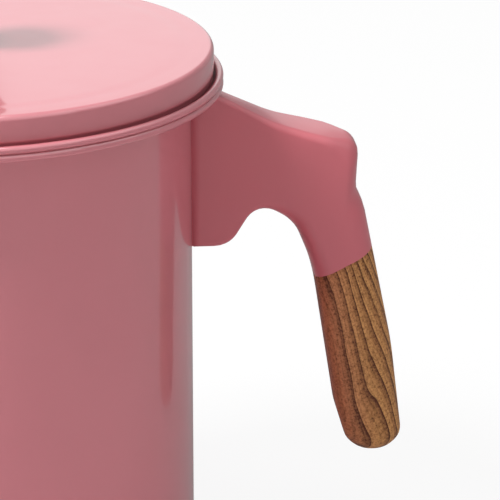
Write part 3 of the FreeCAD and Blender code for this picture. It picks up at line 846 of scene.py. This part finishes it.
def mix_colour(tree, factor, one, two):
    inputs = {0: factor, FIRST_COLOUR: one, SECOND_COLOUR: two}
    return make(tree, "ShaderNodeMix", {"data_type": "RGBA"}, inputs, COLOUR_RESULT)


def bump(tree, shader, height, strength, distance):
    """Fine relief in the shading only, its distance in metres."""
    inputs = {"Height": height, "Strength": strength, "Distance": distance}
    join(tree, shader.inputs["Normal"], make(tree, "ShaderNodeBump", {}, inputs))


def dress(target, material):
    target.data.materials.clear()
    target.data.materials.append(material)


print("middle grey is", round(linear(128, 128, 128)[0], 3), "in linear numbers")

# %% [markdown]
# Between the lid's skirt and the rim's bead runs a groove under a millimetre wide.
# On the real pot it is almost black, because hardly any light gets in. Here the
# lamps are wide and the floor is white, so too much light does. The shade is
# therefore painted: the enamel is darkened in that ring, and its gloss coat is
# taken away there. It depends on the place only, so it looks the same from every
# side, and it stops above the pot's own flange.

# %% The painted shade in the groove
PAINTED_GROOVE_SHADE = linear(34, 14, 18)
GROOVE_DEPTH = 0.92
GROOVE_OFFSET = 0.15
GROOVE_REACH = 1.6
GROOVE_FADE = 0.35
GROOVE_TOP = 1.9
FLANGE_FADE = 0.5


def groove(tree):
    """Painted shade: 1 in the narrow groove between the lid's skirt and the bead, 0 elsewhere."""
    x, y, z = split(tree, make(tree, "ShaderNodeTexCoord", output="Object"))
    radius = (x * x + y * y) ** 0.5
    off = (radius - (LID_RADIUS + GROOVE_OFFSET) * MM).unsigned()
    inside = (GROOVE_REACH - off / (GROOVE_FADE * MM)).clamped()
    below = (LID_FOOT + GROOVE_TOP - z / MM).clamped()
    above = ((z / MM - FLANGE_TOP) / FLANGE_FADE).clamped()
    return inside * below * above


print("the groove is darkest", round(LID_RADIUS + GROOVE_OFFSET, 2), "mm from the axis")

# %% [markdown]
# The pink is baked enamel over steel: an even colour under a clear hard gloss. A
# glossy shader alone would do for a small picture. Here the colour and the
# roughness drift a little from one centimetre to the next, and a faint bump stands
# for the waviness that a sprayed and baked coat keeps, called orange peel.

# %% The pink enamel
PINK = linear(199, 112, 121)
PINK_SHADE = linear(196, 107, 117)
ENAMEL_DRIFT = 28.0
ENAMEL_CLOUDS = 90.0
ENAMEL_SMOOTHEST = 0.31
ROUGHNESS_DRIFT = 0.08
PEEL_SCALE = 220.0
PEEL_STRENGTH = 0.05
PEEL_DEPTH = 0.2 * MM
ENAMEL_COAT = 0.75
ENAMEL = {
    "Roughness": 0.35,
    "Specular IOR Level": 0.5,
    "Coat Weight": ENAMEL_COAT,
    "Coat Roughness": 0.07,
    "Coat IOR": 1.9,
}


def pink_enamel():
    material, tree, shader = new_material("pink_enamel", ENAMEL)
    place = place_of(tree)
    # painted shade: the groove mask darkens the enamel's colour and takes its coat away
    dark = groove(tree)
    paint = mix_colour(tree, noise(tree, place, ENAMEL_DRIFT, detail=3.0), PINK, PINK_SHADE)
    colour = mix_colour(tree, dark * GROOVE_DEPTH, paint, PAINTED_GROOVE_SHADE)
    join(tree, shader.inputs["Base Color"], colour)
    roughness = ENAMEL_SMOOTHEST + noise(tree, place, ENAMEL_CLOUDS) * ROUGHNESS_DRIFT
    join(tree, shader.inputs["Roughness"], roughness)
    join(tree, shader.inputs["Coat Weight"], ENAMEL_COAT - dark * ENAMEL_COAT)
    bump(tree, shader, noise(tree, place, PEEL_SCALE, detail=1.0), PEEL_STRENGTH, PEEL_DEPTH)
    return material


enamel = pink_enamel()
for piece in (pot, rim, lid):
    dress(piece, enamel)
print("enamel on", pot.name, rim.name, "and", lid.name)

# %% [markdown]
# The handle's arm is moulded plastic of nearly the same pink. It could share the
# enamel, but plastic is duller and a little deeper in colour, so it has its own
# finish with a thinner, softer gloss and a finer grain from the mould.

# %% The pink plastic
MOULDED_PINK = linear(194, 100, 109)
MOULDED_SHADE = linear(191, 96, 106)
MOULDED_DRIFT = 40.0
MOULDED_CLOUDS = 120.0
MOULDED_SMOOTHEST = 0.36
MOULD_GRAIN_SCALE = 260.0
PLASTIC = {
    "Roughness": 0.4,
    "Specular IOR Level": 0.4,
    "Coat Weight": 0.4,
    "Coat Roughness": 0.12,
    "Coat IOR": 1.5,
}


def pink_plastic():
    material, tree, shader = new_material("pink_plastic", PLASTIC)
    place = place_of(tree)
    colour = mix_colour(tree, noise(tree, place, MOULDED_DRIFT), MOULDED_PINK, MOULDED_SHADE)
    join(tree, shader.inputs["Base Color"], colour)
    roughness = MOULDED_SMOOTHEST + noise(tree, place, MOULDED_CLOUDS) * ROUGHNESS_DRIFT
    join(tree, shader.inputs["Roughness"], roughness)
    grain = noise(tree, place, MOULD_GRAIN_SCALE, detail=1.0)
    bump(tree, shader, grain, PEEL_STRENGTH, PEEL_DEPTH)
    return material


dress(arm, pink_plastic())
print("plastic on", arm.name)

# %% [markdown]
# The wood shows growth rings as dark lines that run along the grip. Each ring
# darkens slowly and ends sharply, as a saw-tooth does. A wave texture could draw
# such lines, but evenly spaced. The fraction of a distance that is worked out here
# lets them fan out. Noise that is stretched along the grain makes them sway and
# break, a second, finer saw-tooth fills the space between them, and very fine
# noise stands for the pores.

# %% The wood
WOOD_TAN = linear(224, 166, 100)
WOOD_BROWN = linear(172, 110, 66)
WOOD_RED = linear(194, 112, 86)
WOOD_DARK = linear(78, 38, 20)
RING_WIDTH = 2.2 * MM
RING_SWAY = 1.6
RING_SHARPNESS = 3.6
FINE_WIDTH = RING_WIDTH * 0.31
FINE_SWAY = 4.0
FINE_SHARPNESS = 4.0
PORE_SHARPNESS = 3.0
PORE_SCALE = 1500.0
PORE_ROUGHNESS = 0.7
SWAY_SCALE = 90.0
BREAK_SCALE = 160.0
LINE_LEAST = 0.25
LINE_BREAKS = 1.2
ALONG_GRAIN = (1.0, 1.0, 0.2)
DARK_OF_LINES = 0.95
DARK_OF_FINE = 0.3
DARK_OF_PORES = 1.9
BROWN_OF_RINGS = 0.5
BROWN_OF_PORES = 0.6
WOOD_SMOOTHEST = 0.5
WOOD_ROUGHNESS_SPREAD = 0.15


def wood(name, grain_lines):
    """Growth rings: each darkens slowly and ends sharply, as a saw-tooth wave does."""
    material, tree, shader = new_material(name, {"Roughness": 0.55, "Specular IOR Level": 0.25})
    place = place_of(tree)
    long_place = place_of(tree, ALONG_GRAIN)
    across, redness = grain_lines(tree, place)
    sway = noise(tree, long_place, SWAY_SCALE)
    broken = noise(tree, long_place, BREAK_SCALE)
    pores = noise(tree, place, PORE_SCALE, roughness=PORE_ROUGHNESS)
    ring = (across / RING_WIDTH + sway * RING_SWAY).fraction()
    fine = (across / FINE_WIDTH + sway * FINE_SWAY).fraction()
    line = (ring ** RING_SHARPNESS) * (LINE_LEAST + broken * LINE_BREAKS)
    shade = line * DARK_OF_LINES + (fine ** FINE_SHARPNESS) * DARK_OF_FINE
    shade = shade + (pores ** PORE_SHARPNESS) * DARK_OF_PORES
    brown = ring * BROWN_OF_RINGS + pores * BROWN_OF_PORES
    ground = mix_colour(tree, brown, WOOD_TAN, WOOD_BROWN)
    ground = mix_colour(tree, redness, ground, WOOD_RED)
    colour = mix_colour(tree, shade.clamped(), ground, WOOD_DARK)
    join(tree, shader.inputs["Base Color"], colour)
    join(tree, shader.inputs["Roughness"], WOOD_SMOOTHEST + pores * WOOD_ROUGHNESS_SPREAD)
    bump(tree, shader, 1.0 - shade, strength=0.3, distance=0.4 * MM)
    return material


print("growth rings are", round(RING_WIDTH / MM, 1), "mm wide")

# %% [markdown]
# On the grip the lines start close together at the top and fan out as they run
# down, and the side that faces the pot is redder. On the knob, which is a guess
# after the grip, they run straight up. A grain could be painted as an image; a
# formula for the distance across the grain does without one.

# %% The grain of the grip and the knob
GRIP_LEAN = math.radians(8.8)
GRIP_TOP = 85.0 * MM
GRIP_SIDE = 92.2 * MM
FAN = 10.0
TILT_ACROSS = 0.35
RED_START = 0.85
RED_FADE = 80.0
KNOB_GRAIN_SHIFT = 0.03
KNOB_REDNESS = 8.0


def grip_grain(tree, place):
    """Lines that fan out from the pot's side of the grip as they run down it."""
    x, y, z = split(tree, place)
    down = GRIP_TOP - z
    from_side = x - (GRIP_SIDE + down * math.tan(GRIP_LEAN))
    spread = (1.0 + down * FAN) ** 2.0
    redness = (RED_START - from_side * RED_FADE).clamped()
    return from_side / spread + y * TILT_ACROSS, redness


def knob_grain(tree, place):
    """Straight lines up the knob, a little redder on one side."""
    x = split(tree, place)[0]
    return x + KNOB_GRAIN_SHIFT, (x * KNOB_REDNESS).clamped()


dress(grip, wood("wood_grip", grip_grain))
dress(knob, wood("wood_knob", knob_grain))
print("wood on", grip.name, "and", knob.name)

# %% [markdown]
# The parts that only show when the lid is off are plain metals: brushed stainless,
# zinc-plated screws and a brass insert. A mirror-smooth metal would look like
# chrome, so noise that is stretched along the brushing or turning marks varies
# both the tint and the roughness.

# %% The metals
METAL_SHADE = 0.85
MARK_SCALE = 600.0
ROUGHNESS_SPREAD = 0.12
UPRIGHT_MARKS = (1.0, 1.0, 0.08)
NO_MARKS = (1.0, 1.0, 1.0)
LEVEL_MARKS = (0.1, 0.1, 1.0)


def metal(name, colour, roughness, marks):
    """A metal whose fine marks run where their scale is smallest."""
    material, tree, shader = new_material(name, {"Metallic": 1.0, "Roughness": roughness})
    lines = noise(tree, place_of(tree, marks), MARK_SCALE, detail=3.0, roughness=0.6)
    darker = tuple(value * METAL_SHADE for value in colour[:3]) + (1.0,)
    join(tree, shader.inputs["Base Color"], mix_colour(tree, lines, colour, darker))
    smoothest = roughness - ROUGHNESS_SPREAD / 2
    join(tree, shader.inputs["Roughness"], smoothest + lines * ROUGHNESS_SPREAD)
    bump(tree, shader, lines, strength=0.1, distance=0.1 * MM)
    return material


stainless = metal("stainless_steel", linear(205, 205, 206), 0.3, UPRIGHT_MARKS)
zinc = metal("zinc_plate", linear(190, 192, 198), 0.35, NO_MARKS)
brass = metal("turned_brass", linear(205, 170, 100), 0.3, LEVEL_MARKS)
dress(cup, stainless)
for name in ("strainer_mesh", "mesh_clamp_ring"):
    dress(nodes[name], stainless)
for name in ("handle_bracket", "handle_screw", "handle_tang", "knob_screw", "knob_washer"):
    dress(nodes[name], zinc)
dress(nodes["knob_insert"], brass)
print("metals:", stainless.name, zinc.name, brass.name)

# %% [markdown]
# The photograph has a white ground. A floor under brighter lamps would turn white
# too, but then the object would burn out. So the floor is a pale grey that takes
# the object's shadow, and Light Path adds a white glow to it only for rays from the
# camera, off a gloss or through glass. In glosses the glow is dimmer, because a
# full white floor washed out the enamel's sides. The floor lies a hair below the
# pot's base, so that the two faces never share a plane.

# %% The floor
FLOOR_SIZE = 12.0
FLOOR_DROP = 0.2 * MM
FLOOR_IN_GLOSS = 0.3
GLOW_SHARE = 0.9
FLOOR_GRAIN_SCALE = 3.0


def grey(level):
    return (level, level, level, 1.0)


FLOOR_PALE = grey(0.85)
FLOOR_SHADE = grey(0.83)


def ray_kinds(tree):
    """1 where a ray comes straight from the camera, off a gloss, or through glass."""
    path = make(tree, "ShaderNodeLightPath")
    names = ("Is Camera Ray", "Is Glossy Ray", "Is Transmission Ray")
    return [path.sibling(name) for name in names]


def floor_material():
    material, tree, shader = new_material("floor_white", {"Roughness": 0.9, "Specular IOR Level": 0.1})
    grain = noise(tree, place_of(tree), FLOOR_GRAIN_SCALE)
    join(tree, shader.inputs["Base Color"], mix_colour(tree, grain, FLOOR_PALE, FLOOR_SHADE))
    camera_ray, glossy_ray, transmission_ray = ray_kinds(tree)
    shine = mix_colour(tree, glossy_ray, grey(1.0), grey(FLOOR_IN_GLOSS))
    glow = make(tree, "ShaderNodeEmission", {}, {"Color": shine, "Strength": 1.0})
    share = (camera_ray + glossy_ray + transmission_ray) * GLOW_SHARE
    plain = Wire(tree, shader.outputs[0])
    blend = make(tree, "ShaderNodeMixShader", {}, [share, plain, glow])
    join(tree, tree.nodes["Material Output"].inputs["Surface"], blend)
    return material


bpy.ops.mesh.primitive_plane_add(size=FLOOR_SIZE, location=(0, 0, -FLOOR_DROP))
floor = bpy.context.object
floor.name = "floor"
floor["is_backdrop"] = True
dress(floor, floor_material())
print("floor lies", round(FLOOR_DROP / MM, 1), "mm below the base")

# %% [markdown]
# The world is a white room: the camera sees it as plain white, but it lights the
# object only softly, or no shadow would be left. A picture of a studio could stand
# round the object. Here a gloss sees a darker white near the horizon and full
# white overhead, as it would under a studio's ceiling of cloth. That helps the
# bright line on the lid's edge and keeps the sides of the pot deep in colour.

# %% The white world
AMBIENT = 0.2
SEEN_IN_GLOSS = 0.4
OVERHEAD_SLOPE = 3.0
OVERHEAD_START = 1.2

world = bpy.data.worlds.new("white_world")
scene.world = world
world.use_nodes = True
world_tree = world.node_tree
background = world_tree.nodes["Background"]
background.inputs["Color"].default_value = grey(1.0)
camera_ray, glossy_ray, transmission_ray = ray_kinds(world_tree)
direction = make(world_tree, "ShaderNodeTexCoord", output="Generated")
height = split(world_tree, direction)[2]
overhead = (height * OVERHEAD_SLOPE - OVERHEAD_START).clamped()
gloss_white = SEEN_IN_GLOSS + overhead * (1.0 - SEEN_IN_GLOSS)
seen = (camera_ray + transmission_ray) * (1.0 - AMBIENT)
shone = glossy_ray * (gloss_white - AMBIENT)
join(world_tree, background.inputs["Strength"], AMBIENT + seen + shone)
print("the world lights at", AMBIENT, "and is seen at 1")

# %% [markdown]
# The photograph's light comes from high on the left, with the knob's shadow falling
# to the right, and it is soft. One sun would give hard edges. Square lamps, larger
# where they only fill, stand round the pot: each is given by its direction and
# distance from the pot, its side length in metres and its power in watts.

# %% The lamps
AIM = Vector((0, 0, 90 * MM))
LAMPS = (
    ("key_light", -74, 52, 1.6, 0.5, 29.0),
    ("top_light", 0, 80, 1.8, 0.6, 8.0),
    ("fill_light", 30, 30, 2.2, 1.6, 6.0),
    ("side_light", 80, 45, 1.8, 1.2, 3.0),
    ("back_light", 180, 20, 1.8, 1.2, 3.1),
)


def softbox(name, azimuth, elevation, distance, size, watts):
    """A square lamp that looks at the pot, placed by its direction from the pot."""
    across = math.radians(azimuth)
    up = math.radians(elevation)
    level = math.cos(up)
    way = Vector((math.sin(across) * level, -math.cos(across) * level, math.sin(up)))
    bpy.ops.object.light_add(type="AREA", location=AIM + way * distance)
    lamp = bpy.context.object
    lamp.name = name
    lamp.data.shape = "SQUARE"
    lamp.data.size = size
    lamp.data.energy = watts
    lamp.rotation_euler = way.to_track_quat("Z", "Y").to_euler()
    lamp.visible_camera = False


for lamp_words in LAMPS:
    softbox(*lamp_words)

# %% [markdown]
# Standard view, so a colour renders about as it is written. The highest points of
# the two boxes are printed, so that the dressed model can be held against the CAD's own size.

# %% Finish
scene.view_settings.view_transform = "Standard"
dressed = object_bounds()
heights = [round(box[1][2], 4) for box in (cad_bounds, dressed)]
print("highest points of the CAD and the dressed model, in metres:", heights)
